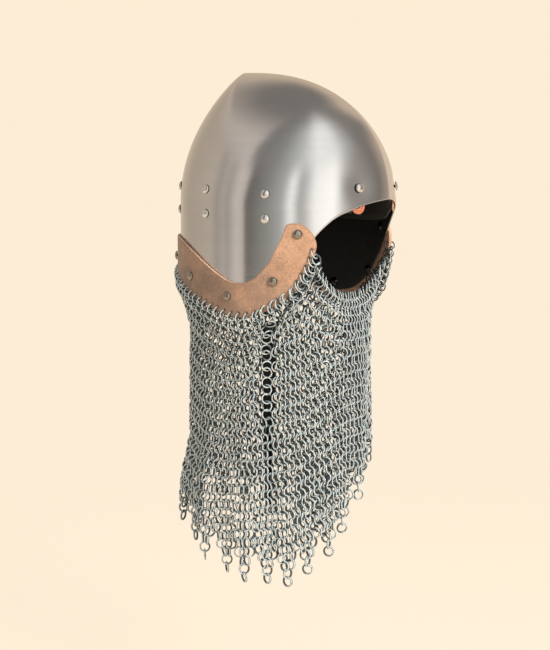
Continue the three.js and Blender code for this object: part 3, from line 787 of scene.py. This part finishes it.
def make_tab(tab, angle, level, pitch, hand, side):
    """One strap: its outline in the flat from the level of its upper hole to that of its lower one."""
    half = tab_width / 2
    low = level - pitch
    turn = np.linspace(0, math.pi, tab_end_steps)
    top_end = np.stack([half * np.cos(turn), level + half * np.sin(turn)], 1)
    low_end = np.stack([-half * np.cos(turn), low - half * np.sin(turn)], 1)
    climb = np.linspace(low, level, tab_side_steps + 2)[1:-1]
    edge = np.full(tab_side_steps, half)
    outline = np.concatenate([top_end, np.stack([-edge, climb[::-1]], 1), low_end, np.stack([edge, climb], 1)])
    ends = wall_point(angle + np.array([-0.5, 0.5]), 0, tab_depth)
    per_degree = np.linalg.norm(ends[1] - ends[0])
    made = cut_leather(
        f"strap_{tab}_{hand}",
        outline,
        [((0, level), rivet_hole_radius), ((0, low), rivet_hole_radius)],
        tab_mesh_gap,
        lambda flat: (side * angle + flat[:, 0] / per_degree, flat[:, 1]),
        tab_depth,
        tab_wall,
    )
    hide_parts(f"liner_tab_{tab}_{hand}")
    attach(made, "root")
    return made


# The tabs' inward side is painted shade: near black, for the dim inside of the helmet.
tab_leather = leather("tab_leather", (0.5, 0.16, 0.085), (0.4, 0.12, 0.06), 0.4, inner=(0.03, 0.018, 0.014))
tab_edge = leather("tab_cut_edge", (0.6, 0.36, 0.22), (0.5, 0.28, 0.16), 0.5)
for side, hand in ((1, "right"), (-1, "left")):
    for tab, angle, level, pitch, _ in liner_tabs:
        strap = make_tab(tab, angle, level, pitch, hand, side)
        strap.data.materials.append(tab_leather)
        strap.data.materials.append(tab_edge)

# Liner: one strip of suede-side leather as a headband, cut above into eight fingers that lean in to the crown,
# where each is folded over the lace in a hem.
headband_top = 0.026
headband_low_reach = 0.022
headband_low_shares = [
    (0, -0.36), (14, -0.1), (18, 0), (24, 0.38), (28, 0.38), (33, 0.52), (45, 0.86), (71, 1), (109, 0.8),
    (180, 0.76),
]
crown_radius = 0.028
lace_radius = 0.0015
finger_count = 8
finger_sector = 360 / finger_count
finger_columns = 25
headband_rows = 6
arch_steps = 22
hem_steps = 12
hem_sweep = math.radians(290)
hem_middle = hem_radius - liner_wall / 2
slot_width = 0.008
slot_reach_share = 0.86
arch_span_share = 0.84
arch_rise_share = 0.67
weld_gap = 1e-6


def arch(share, angle):
    """The middle of a finger's leather: a curve of the second order from the headband's top to the crown."""
    start = wall_point(angle, headband_top, liner_depth + liner_wall / 2)
    turn = np.radians(angle)
    end_level = np.full(angle.shape, crown_level + hem_middle - seat_level)
    end = np.stack([-crown_radius * np.sin(turn), -crown_radius * np.cos(turn), end_level], -1)
    bend = start + (end - start) * (1 - arch_span_share)
    bend[..., 2] = headband_top + (crown_level - headband_top) * arch_rise_share - seat_level
    g = share[..., None]
    return start * (1 - g) ** 2 + bend * 2 * g * (1 - g) + end * g * g


def make_finger(centre):
    """The outer and inner points of one eighth of the liner: headband rows round the wall, the arch, then a loop
    round the lace. Where the arch is past the slots' round ends, its columns are drawn together."""
    across = np.linspace(-1, 1, finger_columns)[:, None] * finger_sector / 2
    column = centre + across
    share = np.broadcast_to(np.linspace(0, 1, arch_steps), (finger_columns, arch_steps))
    plain = arch(share, np.broadcast_to(column, share.shape))
    radius = np.hypot(plain[..., 0], plain[..., 1])
    slot_end = slot_reach_share * radius[:, :1] + slot_width / 2
    into = np.clip(slot_end - radius, 0, slot_width / 2)
    half_slot = np.sqrt(np.maximum((slot_width / 2) ** 2 - (slot_width / 2 - into) ** 2, 0))
    shrink = 1 - np.degrees(np.arcsin(np.clip(half_slot / radius, 0, 1))) / (finger_sector / 2)
    drawn = centre + across * shrink
    middle = arch(share, drawn)
    out = unit(np.cross(np.gradient(middle, axis=1), np.gradient(middle, axis=0))) * liner_wall / 2
    low = edge_level(headband_low_shares, column, headband_low_reach)
    level = low + (headband_top - low) * np.linspace(0, 1, headband_rows + 1)[:-1]
    last = np.radians(drawn[:, -1:])
    toward = np.stack([np.sin(last), np.cos(last), np.zeros_like(last)], -1)
    lace = -crown_radius * toward + np.array([0, 0, crown_level - seat_level])
    turn = np.linspace(0, hem_sweep, hem_steps + 1)[1:, None]
    curl = np.sin(turn) * toward + np.cos(turn) * np.array([0, 0, 1])
    band_out, band_in = wall_point(column, level, liner_depth), wall_point(column, level, liner_back_depth)
    outer = np.concatenate([band_out, middle + out, lace + curl * (hem_middle + liner_wall / 2)], 1)
    inner = np.concatenate([band_in, middle - out, lace + curl * (hem_middle - liner_wall / 2)], 1)
    return outer, inner


def make_liner():
    """Eight fingers side by side, joined wherever the last column of one meets the first of the next."""
    fingers = [make_finger((i + 0.5) * finger_sector) for i in range(finger_count)]
    outer, inner = [np.concatenate(side).reshape(-1, 3) for side in zip(*fingers)]
    rows = fingers[0][0].shape[1]
    size = finger_columns * rows
    faces = np.concatenate([grid_faces(finger_columns, rows) + i * size for i in range(finger_count)])
    same = np.arange(len(outer))
    for i in range(finger_count):
        for j in range(rows):
            a, b = (i + 1) * size - rows + j, (i + 1) % finger_count * size + j
            if np.linalg.norm(outer[a] - outer[b]) < weld_gap:
                same[b] = a
    return thick_sheet("suede_liner", outer, inner, same[faces])


liner = make_liner()
# Dark leather, darkened to near black as painted shade for the dim inside of the helmet.
liner.data.materials.append(leather("liner_suede", (0.009, 0.006, 0.005), (0.005, 0.004, 0.003), 0.8))
liner.data.materials.append(leather("liner_cut_edge", (0.012, 0.008, 0.006), (0.008, 0.005, 0.004), 0.6))
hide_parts("liner")
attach(liner, "root")

# Crown lace: a waxed cord run through the eight hems, drawn up and knotted over the brow. It is a little thinner
# than its radius in the hoop, and more so in the knot and its two ends.
knot_radius = 0.0021
knot_size = knot_radius * 0.62
knot_lift = 1.1
knot_squeeze = 0.75
lace_end = 0.016
lace_end_way = (0.45, -0.15, 0.88)
lace_end_droop = 0.0012
hoop_radius_share = 0.97
knot_radius_share = 0.75
end_radius_share = 0.8
end_taper = 0.45
cord_sides = 12
hoop_steps = 120
knot_steps = 60
end_steps = 14
never_along = (0.13, 0.21, 0.97)


def make_cord(name, path, radius, closed):
    """A round tube along a path of points, its rings square to the path and turned by a direction that it never
    runs along, with rounded ends where it is open."""
    ahead = np.roll(path, -1, axis=0) - np.roll(path, 1, axis=0) if closed else np.gradient(path, axis=0)
    ahead = unit(ahead)
    side = unit(np.cross(ahead, never_along))
    up = np.cross(side, ahead)
    turn = full_turn(cord_sides)[:, None, None]
    reach = np.full((len(path), 1), radius)
    if not closed:
        reach[[0, -1]] *= end_taper
    points = path + (np.cos(turn) * side + np.sin(turn) * up) * reach
    faces = grid_faces(cord_sides, len(path), ring=True).tolist()
    first = np.arange(cord_sides) * len(path)
    last = first + len(path) - 1
    if closed:
        faces += np.stack([last, np.roll(last, -1), np.roll(first, -1), first], 1).tolist()
    else:
        faces += [first.tolist(), last[::-1].tolist()]
    return put_mesh(name, points, faces)


def make_lace():
    """The hoop, a three-lobed knot on it over the brow, and two short ends that stand up from the knot."""
    turn = full_turn(hoop_steps)
    height = crown_level - seat_level
    hoop = np.stack([crown_radius * np.cos(turn), crown_radius * np.sin(turn), np.full(hoop_steps, height)], 1)
    pieces = [make_cord("lace_hoop", hoop, lace_radius * hoop_radius_share, True)]
    knot = np.array([0, -crown_radius, height])
    wind = full_turn(knot_steps)
    sideways, forward = np.sin(wind) + 2 * np.sin(2 * wind), np.cos(wind) - 2 * np.cos(2 * wind)
    tie = knot + knot_size * knot_squeeze * np.stack([sideways, -knot_lift * np.sin(3 * wind), forward], 1)
    pieces.append(make_cord("lace_knot", tie, lace_radius * knot_radius_share, True))
    for side in (-1, 1):
        along = unit(np.array(lace_end_way) * (side, 1, 1))
        f = np.linspace(0, 1, end_steps)[:, None]
        path = knot + along * lace_end * f + np.array([lace_end_droop * side, 0, 0]) * np.sin(f * math.pi)
        pieces.append(make_cord("lace_end", path, lace_radius * end_radius_share, False))
    with bpy.context.temp_override(active_object=pieces[0], selected_editable_objects=pieces):
        bpy.ops.object.join()
    pieces[0].name = "waxed_lace"
    return pieces[0]


def waxed_cord():
    """Dark waxed cord, its twist a fine wave in tone and bump."""
    made, add, place = new_material("waxed_cord")
    twist = add("ShaderNodeTexWave", Vector=place["Object"], Scale=420.0, Distortion=1.5)["Fac"]
    finish_surface(
        add,
        Base_Color=blended(add, twist, (0.03, 0.018, 0.01), (0.09, 0.055, 0.03)),
        Roughness=0.6,
        Normal=dents(add, twist, 0.6, 0.0003),
    )
    return made


lace = make_lace()
lace.data.materials.append(waxed_cord())
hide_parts("crown_lace")
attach(lace, "root")

# Mail aventail: butted rings of zinc-bright steel wire, each joined to four others, in rows that lean left and
# right by turns. The top rings pass through the band's holes, the foot hangs in thicker wire and is cut into
# tapering dags, and an upright seam stands at the right cheek over a black strip of painted shade. Columns
# count from the brow.
link_radius = 0.005
link_wire = 0.0015
wire_sides = 4
wire_steps = 14
wire_cut = math.radians(3)
wire_swell = 1.15
foot_swell = 0.3
foot_swell_drops = (0.19, 0.32)
mail_width = 0.168
mail_length = 0.188
mail_depth = 0.381
mail_set_back = 0.009
ring_inset = 0.0015
bunch_shares = (-0.153, 0.05)
link_lean_share = 0.45
first_ring_drop = 0.0114
throat_sag = 0.042
throat_sag_power = 2.4
throat_set_back = 0.006
draw_in_drop = 0.050
draw_in_haste = 0.6
fold_depth = 0.003
columns_per_fold = 8
back_flare = 0.010
flare_drops = (0.235, 0.300)
columns_per_dag = 4
dag_tip_shares = [
    (-180, 0.835), (-147, 0.866), (-118, 0.93), (-95, 0.955), (-80, 0.9), (-70, 0.84), (-58, 0.785),
    (-45, 0.745), (-33, 0.714), (-20, 0.709), (-10, 0.74), (0, 0.79), (14.5, 0.874), (29, 0.928),
    (42.5, 0.974), (56, 1), (69, 0.995), (84, 0.99), (108.5, 0.953), (147, 0.866), (180, 0.835),
]
first_row = -16
last_row = 43
foot_rows = range(5, 42, 2)
top_row_pitch = 0.0072
low_row_pitch = 0.0081
pitch_settles_in = 6
side_row_level = -0.119
row_rise_shares = [(0, 0.4), (6, 0.34), (14, 0.12), (24, 0), (34, 0), (48, 0.42)]
ease_rows = 12
ring_yaw = math.radians(40)
ring_jitter = math.radians(6.5)
ring_seed = 7
top_link_yaw = math.radians(24)
slope_columns = 0.4
slope_height = 0.002
# Painted shade on the rings: wire that faces the head or dives behind the next ring is darkened by these.
hidden_facing = (-0.85, 0.0)
dive_facing = (-0.15, 0.4)
dive_shade = 0.9
seam_column = 20
seam_levels = (-0.112, -0.212)
seam_fade = 0.02
seam_spread = 0.85
seam_reach = 2.5
seam_lean = 1.8
seam_lean_levels = (-0.155, -0.108)
seam_lean_reach = 4
seam_ring_yaw = math.radians(13)
strip_levels = (-0.114, -0.3)
strip_halves = (1.6, 0.6)
strip_columns = 5
strip_steps = 24
strip_depth = 0.005
strip_wall = 0.0008


def hanging_links():
    """Each top link's hole, the direction it hangs in, and the wall's outward direction there."""
    angle, level, out = link_places()
    normal = wall_normal(angle, -skirt_depth / 2)
    tangent = -np.cross((0, 0, 1), normal)
    down = tangent * (link_lean_share * out[:, :1])
    down = down + np.array([0, 0, 1]) * (link_lean_share * (out[:, 1:] + 1) - 1)
    return wall_point(angle, level, band_depth + band_wall / 2), unit(down), normal


def column_tops():
    """For each column, where its first ring hangs: below its top link, or on the free edge at the throat, which
    sags between the foremost rings on the two sides and lies a little closer to the neck in the middle."""
    k = np.arange(mail_columns)
    near = np.where(k <= mail_columns / 2, k, k - mail_columns) / first_link_column
    linked = np.abs(near) >= 1
    ring = link_hole + link_down * first_ring_drop
    top = ring[0] * np.stack([near, np.ones(mail_columns), np.ones(mail_columns)], 1)
    top[:, 1] += throat_set_back * (1 - near**4)
    top[:, 2] -= throat_sag * (1 - np.abs(near) ** throat_sag_power)
    top[linked] = ring[k[linked] - first_link_column]
    return top


link_hole, link_down, link_normal = hanging_links()
column_top = column_tops()


def smooth_step(value, low, high):
    """0 below the low end, 1 above the high end, and an even curve between them."""
    f = np.clip((value - low) / (high - low), 0, 1)
    return f * f * (3 - 2 * f)


def top_at(columns):
    """Where columns, whole or not, start to hang: between the tops of the whole columns beside them."""
    before = np.floor(columns).astype(int)
    f = (columns - before)[..., None]
    return column_top[before % mail_columns] * (1 - f) + column_top[(before + 1) % mail_columns] * f


def tube_angle(k):
    """A column's angle round the hanging tube: even steps, drawn together a little at the front."""
    even = 2 * math.pi * k / mail_columns
    bunched = even + bunch_shares[0] * np.sin(even) + bunch_shares[1] * np.sin(2 * even)
    return (bunched + math.pi) % (2 * math.pi) - math.pi


def mail_point(k, height):
    """A point of the sheet's middle at a column, whole or not, and a height. It starts below the band, is drawn
    in to an oval tube, gathers into upright folds as it falls, and flares at the back."""
    top = top_at(k)
    hang = top[..., 2] - height
    angle = tube_angle(k)
    out = unit(np.stack([-np.sin(angle) / mail_width, -np.cos(angle) / mail_length, 0 * angle], -1))
    drop = np.clip(hang / draw_in_drop, 0, 1)
    drawn = (draw_in_haste * (1 - (1 - drop) ** 2) + (1 - draw_in_haste) * drop**2 * (3 - 2 * drop))[..., None]
    gathered = smooth_step(hang, draw_in_drop, mail_depth - skirt_depth)
    fold = fold_depth * np.cos(2 * math.pi * k / columns_per_fold) * gathered
    backward = (1 - np.cos(angle)) / 2
    flare = back_flare * backward * smooth_step(-(height + seat_level), *flare_drops)
    x, y = -mail_width / 2 * np.sin(angle), mail_set_back - mail_length / 2 * np.cos(angle)
    tube = np.stack([x, y, height], -1) + out * (fold + flare - ring_inset)[..., None]
    upper = np.stack([top[..., 0], top[..., 1], height], -1)
    return upper * (1 - drawn) + tube * drawn


def row_height(k, row):
    """The height of a row at a column: rows are level at the sides and climb towards the face and the nape. Their
    pitch grows from that of the top row to that of the lower ones over a few rows."""
    near = np.abs((k + mail_columns / 2) % mail_columns - mail_columns / 2)
    rise = skirt_depth * read_table(row_rise_shares, near)
    slack = (low_row_pitch - top_row_pitch) * pitch_settles_in * (1 - np.exp(-row / pitch_settles_in))
    fall = low_row_pitch * row - slack if row > 0 else top_row_pitch * row
    return side_row_level + rise - fall - seat_level


def ring_places():
    """Every ring of the sheet as a column, a row and a height. Rings of odd rows sit half a column along. Each
    column's top is eased to its link or to the throat's free edge, and each dag's foot to its length, over a
    dozen rows. Below its foot a dag has rows of three, two, one and one ring."""
    columns, rows, heights = [], [], []
    for centre in range(0, mail_columns, columns_per_dag):
        tip = -mail_depth * read_table(dag_tip_shares, np.degrees(tube_angle(np.array(float(centre)))))
        tip_height = tip - seat_level + link_radius + link_wire / 2
        foot = min(foot_rows, key=lambda r: abs(row_height(centre, r + columns_per_dag) - tip_height))
        tip_row = foot + columns_per_dag
        foot_ease = tip_height - row_height(centre, tip_row)
        for row in range(first_row, min(tip_row, last_row) + 1):
            if row <= foot:
                offsets = np.arange(columns_per_dag) - columns_per_dag / 2 + (0.5 if row % 2 else 1)
            else:
                left = max(tip_row - row, 1)
                offsets = np.arange(left) - (left - 1) / 2
            ease = foot_ease * smooth_step(row, tip_row - ease_rows, tip_row)
            for column in centre + offsets:
                columns.append(column)
                rows.append(row)
                heights.append(row_height(column, row) + ease)
    columns, rows, heights = np.array(columns), np.array(rows), np.array(heights)
    top_height = top_at(columns)[:, 2]
    keep = np.ones(len(columns), bool)
    for k in range(2 * mail_columns):
        at = np.where(np.isclose(columns % mail_columns, k / 2))[0]
        if len(at):
            wanted = top_height[at[0]] - k % 2 * top_row_pitch
            nearest = at[np.argmin(np.abs(heights[at] - wanted))]
            first, ease = rows[nearest], wanted - heights[nearest]
            keep[at] &= rows[at] >= first
            heights[at] += ease * (1 - smooth_step(rows[at], first, first + ease_rows))
    return columns[keep], rows[keep], heights[keep]


def join_seam(columns, rows, heights):
    """The upright join at the right cheek: between two levels one chain of flat-lying rings stands in every row,
    and the rings beside it are pushed away, less with each column. Near the band the seam leans to the face."""
    level = heights + seat_level
    low, high = seam_levels[1], seam_levels[0]
    beside = (level < high) & (level > low)
    between = beside & (rows % 2 == 1)
    keep = ~(between & np.isclose(columns, seam_column + 0.5))
    off = np.where(between & np.isclose(columns, seam_column - 0.5), seam_column, columns) - seam_column
    push = seam_spread * np.exp(-(np.abs(off) - 1) / seam_reach) * np.sign(off)
    fade = smooth_step(level, low - seam_fade, low) * (1 - smooth_step(level, high, high + seam_fade))
    lean = seam_lean * smooth_step(level, *seam_lean_levels) * np.exp(-np.abs(off) / seam_lean_reach)
    moved = seam_column + off + lean + np.where(np.abs(off) < 1, 0, push * fade)
    return moved[keep], rows[keep], heights[keep], (beside & np.isclose(off, 0))[keep]


def ring_frames(columns, rows, heights, flat):
    """Each ring's centre, the two directions of its plane, along the row and up the sheet, turned about the
    upright by the yaw, left and right by turns, and the sheet's outward direction."""
    draw = np.random.default_rng(ring_seed)
    ahead = unit(mail_point(columns + slope_columns, heights) - mail_point(columns - slope_columns, heights))
    up = mail_point(columns, heights + slope_height) - mail_point(columns, heights - slope_height)
    up = unit(up - ahead * (up * ahead).sum(1, keepdims=True))
    out = np.cross(ahead, up)
    lean = np.where(flat, seam_ring_yaw, ring_yaw)
    yaw = (lean * np.where(rows % 2, 1, -1) + draw.normal(0, ring_jitter, len(rows)))[:, None]
    pitch = draw.normal(0, ring_jitter, len(rows))[:, None]
    across = ahead * np.cos(yaw) + out * np.sin(yaw)
    tilted = up * np.cos(pitch) + np.cross(across, up) * np.sin(pitch)
    return mail_point(columns, heights), across, tilted, -out


def ring_mesh(name, centre, across, up, outward, swell):
    """Wire rings as one mesh: each is a ring of small square sections, its two cut ends butted together. The
    attribute it writes is painted shade: 1 where the wire faces the head or dives behind the next ring, 0 where it
    lies out."""
    draw = np.random.default_rng(len(centre))
    start = draw.uniform(0, 2 * math.pi, len(centre))
    turn = (start[:, None] + np.linspace(wire_cut / 2, 2 * math.pi - wire_cut / 2, wire_steps))[..., None]
    spoke = np.cos(turn) * across[:, None] + np.sin(turn) * up[:, None]
    face = np.cross(across, up)
    round_wire = full_turn(wire_sides) + math.pi / 4
    half = (swell * link_wire / 2)[:, None, None, None]
    radial = link_radius + half * np.cos(round_wire)[:, None]
    lift = half * np.sin(round_wire)[:, None]
    points = centre[:, None, None] + spoke[:, :, None] * radial + face[:, None, None] * lift
    section = np.arange(wire_sides)
    following = (section + 1) % wire_sides
    step = np.arange(wire_steps - 1)[:, None] * wire_sides
    after = step + wire_sides
    sleeve = np.stack([step + section, step + following, after + following, after + section], -1).reshape(-1, 4)
    one = np.concatenate([sleeve, [section[::-1], section + (wire_steps - 1) * wire_sides]])
    faces = (one + (np.arange(len(centre)) * wire_steps * wire_sides)[:, None, None]).reshape(-1, 4)
    made = put_mesh(name, points, faces)
    outlying = (spoke * outward[:, None]).sum(-1)[..., None]
    front = (face * outward).sum(-1)[:, None, None]
    facing = outlying * np.cos(round_wire) + front * np.sin(round_wire)
    dives = dive_shade * smooth_step(-outlying, *dive_facing)
    give_values(made, "painted_shade", np.maximum(smooth_step(-facing, *hidden_facing), dives).ravel())
    return made


def zinc_wire():
    """Galvanised wire: a pale blue-grey, mottled ring by ring, with painted shade in the crooks and on inward faces.
    """
    made, add, place = new_material("zinc_wire")
    mottle = cloud(add, place["Object"], 150.0, 3.0, 0.7)
    shade = blended(add, remap(add, mottle, 0.35, 0.65), (0.76, 0.92, 0.97), (0.96, 1.0, 1.0))
    # the attribute read below blends the wire to near black as painted shade
    finish_surface(
        add,
        Base_Color=blended(add, attribute(add, "painted_shade"), shade, (0.048, 0.066, 0.07)),
        Metallic=0.5,
        Roughness=remap(add, mottle, 0.3, 0.7, 0.3, 0.18),
    )
    return made


def make_seam_strip():
    """A black strip of painted shade behind the seam: a ribbon that follows the sheet a few millimetres inside it
    and narrows downwards."""
    height = np.linspace(*strip_levels, strip_steps) - seat_level
    half = np.linspace(*strip_halves, strip_steps)
    lean = seam_lean * smooth_step(height + seat_level, *seam_lean_levels)
    k = seam_column + lean + half * np.linspace(-1, 1, strip_columns)[:, None]
    sheet = mail_point(k, np.broadcast_to(height, k.shape))
    inward = unit(-sheet * (1, 1, 0))
    outer = sheet + inward * strip_depth
    inner = outer + inward * strip_wall
    faces = grid_faces(strip_columns, strip_steps)
    return thick_sheet("mail_seam_strip", outer.reshape(-1, 3), inner.reshape(-1, 3), faces)


def black_seam_shade():
    """Painted shade behind the seam: a quite matt black."""
    made, add, _ = new_material("black_seam_shade")
    finish_surface(add, Base_Color=(0.012, 0.012, 0.013, 1), Roughness=0.85)
    return made


columns, rows, heights, flat = join_seam(*ring_places())
swell = wire_swell + foot_swell * smooth_step(-(heights + seat_level), *foot_swell_drops)
rings = (*ring_frames(columns, rows, heights, flat), swell)
lower = rows >= np.median(rows)
link_face = np.cross(link_down, link_normal)
link_across = link_normal * math.cos(top_link_yaw) + link_face * math.sin(top_link_yaw)
link_swell = np.full(len(link_hole), wire_swell)
link_centre = link_hole + link_down * link_radius
mail_pieces = [
    ring_mesh("mail_top_links", link_centre, link_down, link_across, link_normal, link_swell),
    ring_mesh("mail_upper_rings", *[v[~lower] for v in rings]),
    ring_mesh("mail_lower_rings", *[v[lower] for v in rings]),
    make_seam_strip(),
]
wire = zinc_wire()
for piece, metal in zip(mail_pieces, (wire, wire, wire, black_seam_shade())):
    piece.data.materials.append(metal)
    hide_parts("mail_aventail")
    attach(piece, "root")
